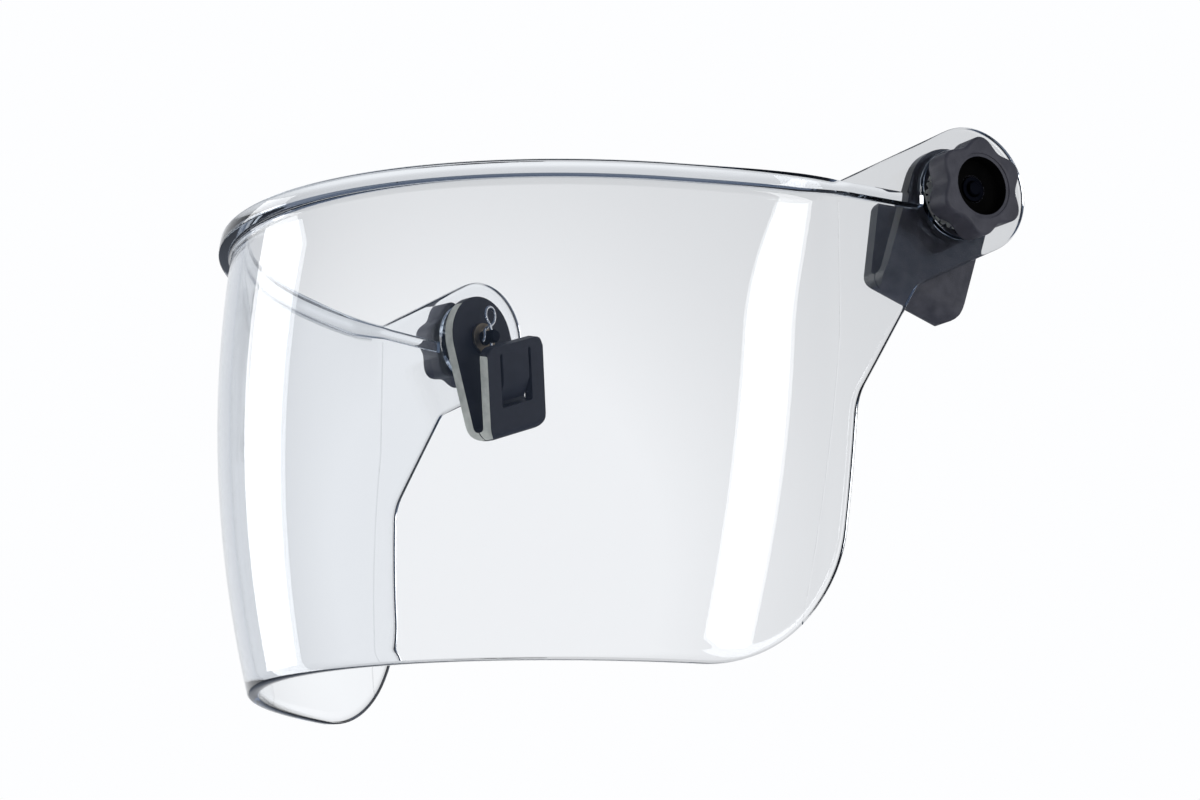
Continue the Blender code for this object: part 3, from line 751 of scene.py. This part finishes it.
def make_sides():
    for side in SIDES:
        make_knob(side)
        make_hairpin(side)
        make_clip(side)
        make_tongue(side)
        for name, (body, slot, look, width) in SOFTENED.items():
            node = f"{side}_{name}"
            finish_piece(softened(node, width * MM), body.format(side=side), look, node)


# ---------------------------------------------------------------- camera, light and floor

CAMERA_AT = Vector((0.8158, -0.7087, -0.2860))
CAMERA_RIGHT = Vector((0.63468, 0.77276, 0.00333))
CAMERA_UP = Vector((0.16668, -0.14110, 0.97586))
LENS = 96.7


def make_camera():
    data = bpy.data.cameras.new("camera")
    data.lens = LENS
    data.sensor_width = 36.0
    data.clip_start = 0.01
    camera = bpy.data.objects.new("camera", data)
    bpy.context.scene.collection.objects.link(camera)
    back = CAMERA_RIGHT.cross(CAMERA_UP)
    camera.matrix_world = Matrix.Translation(CAMERA_AT) @ Matrix(
        (CAMERA_RIGHT, CAMERA_UP, back)).transposed().to_4x4()
    bpy.context.scene.camera = camera


STRIP_REACH = 1.5


def direction(azimuth, elevation):
    """Where a compass angle from +X and a height above the horizon point, both in degrees."""
    a, e = math.radians(azimuth), math.radians(elevation)
    return Vector((math.cos(e) * math.cos(a), math.cos(e) * math.sin(a), math.sin(e)))


def strip_light(name, aim, low, high, width, radiance):
    """A long softbox that faces a point from STRIP_REACH away. Its two ends lie at two directions from it."""
    foot, head = aim + low * STRIP_REACH, aim + high * STRIP_REACH
    along = (head - foot).normalized()
    back = ((foot + head) / 2 - aim).normalized()
    across = along.cross(back).normalized()
    back = across.cross(along)
    data = bpy.data.lights.new(name, "AREA")
    data.shape = "RECTANGLE"
    data.size = width
    data.size_y = (head - foot).length
    data.energy = radiance * math.pi * data.size * data.size_y
    light = bpy.data.objects.new(name, data)
    bpy.context.scene.collection.objects.link(light)
    turn = Matrix((across, along, back)).transposed().to_4x4()
    light.matrix_world = Matrix.Translation((foot + head) / 2) @ turn
    light.visible_camera = False


BACKDROP = Vector((-0.7924, 0.5899, 0.1698))     # towards the brightest part of the backdrop
BACKDROP_FOCUS = 163.0
BACKDROP_GREY = (0.74, 1.0)
ROOM_BRIGHT = Vector((-0.5, 0.866, 0.0))   # the room is bright behind the shield and dark around the camera
ROOM_SPAN = (-0.1, 0.8)                    # of the cosine to that direction, from dark to bright
CEILING_SPAN = (0.45, 0.8, 1, 0.1)         # heights where the room darkens upwards, and from what to what
GROUND_SPAN = (-0.16, -0.06, 0.15, 1)
ROOM_DARK = (0.080, 0.108, 0.165)
ROOM_LIGHT = (0.93, 0.945, 0.97)
LAMP_GREY = 0.65
UP = (0, 0, 1)


def make_world():
    """White to the camera, a backdrop seen through the clear wall, a dark-fronted room in reflections."""
    world = bpy.data.worlds.new("studio")
    bpy.context.scene.world = world
    world.use_nodes = True
    nodes, links = world.node_tree.nodes, world.node_tree.links
    nodes.clear()
    where = nodes.new("ShaderNodeTexCoord")
    path = nodes.new("ShaderNodeLightPath")

    def math_node(operation, first, second):
        node = nodes.new("ShaderNodeMath")
        node.operation = operation
        node.use_clamp = True
        for socket, value in zip(node.inputs, (first, second)):
            if isinstance(value, float):
                socket.default_value = value
            else:
                links.new(value, socket)
        return node.outputs["Value"]

    def facing(towards):
        node = nodes.new("ShaderNodeVectorMath")
        node.operation = "DOT_PRODUCT"
        links.new(where.outputs["Generated"], node.inputs[0])
        node.inputs[1].default_value = towards
        return node.outputs["Value"]

    def ranged(value, low, high, to_low, to_high):
        node = nodes.new("ShaderNodeMapRange")
        links.new(value, node.inputs["Value"])
        for name, number in zip(("From Min", "From Max", "To Min", "To Max"), (low, high, to_low, to_high)):
            node.inputs[name].default_value = number
        return node.outputs["Result"]

    def background(strength, colour=(0.985, 0.99, 1.0)):
        node = nodes.new("ShaderNodeBackground")
        node.inputs["Color"].default_value = (*colour, 1)
        if isinstance(strength, float):
            node.inputs["Strength"].default_value = strength
        else:
            links.new(strength, node.inputs["Strength"])
        return node.outputs["Background"]

    def mixed(factor, first, second):
        node = nodes.new("ShaderNodeMixShader")
        links.new(factor, node.inputs["Fac"])
        links.new(first, node.inputs[1])
        links.new(second, node.inputs[2])
        return node.outputs["Shader"]

    glow = math_node("POWER", facing(BACKDROP), BACKDROP_FOCUS)
    backdrop = background(ranged(glow, 0, 1, *BACKDROP_GREY))
    brightness = ranged(facing(ROOM_BRIGHT), *ROOM_SPAN, 0, 1)
    brightness = math_node("MULTIPLY", brightness, ranged(facing(UP), *GROUND_SPAN))
    brightness = math_node("MULTIPLY", brightness, ranged(facing(UP), *CEILING_SPAN))
    room = mixed(brightness, background(1.0, ROOM_DARK), background(1.0, ROOM_LIGHT))
    reflected = math_node("GREATER_THAN", path.outputs["Glossy Depth"], 0.5)
    scattered = math_node("GREATER_THAN", path.outputs["Diffuse Depth"], 0.5)
    seen = mixed(reflected, backdrop, room)
    seen = mixed(scattered, seen, background(LAMP_GREY))
    out = nodes.new("ShaderNodeOutputWorld")
    links.new(mixed(path.outputs["Is Camera Ray"], seen, background(1.0)), out.inputs["Surface"])


FLOOR_Z = -0.62
FLOOR_REACH = 30.0
FLOOR_GLOW = 0.2


def make_floor():
    """A pale floor. Mirrored and transmitted rays miss it, or its horizon would cross the window."""
    corners = ((-1, -1), (1, -1), (1, 1), (-1, 1))
    mesh = bpy.data.meshes.new("floor")
    mesh.from_pydata([(x * FLOOR_REACH, y * FLOOR_REACH, FLOOR_Z) for x, y in corners], [], [(0, 1, 2, 3)])
    floor = add("studio_floor", mesh)
    material, _, _, shader = new_material("pale_floor", (0.90, 0.90, 0.90), 0.6)
    shader.inputs["Emission Color"].default_value = (1, 1, 1, 1)
    shader.inputs["Emission Strength"].default_value = FLOOR_GLOW
    mesh.materials.append(material)
    floor.visible_glossy = False
    floor.visible_transmission = False


def make_studio():
    make_world()
    make_floor()
    right_band, left_band = Vector((0.119, -0.065, -0.08)), Vector((0, -0.17, -0.08))
    strip_light("right_strip", right_band, direction(3.6, -20), direction(12.6, 23), 0.30, 3.5)
    strip_light("left_strip", left_band, direction(-158, -10), direction(-148, 28), 0.64, 3.0)
    view = bpy.context.scene.view_settings
    view.view_transform = "Standard"
    view.look = "None"


make_camera()
make_visor()
make_sides()
make_studio()
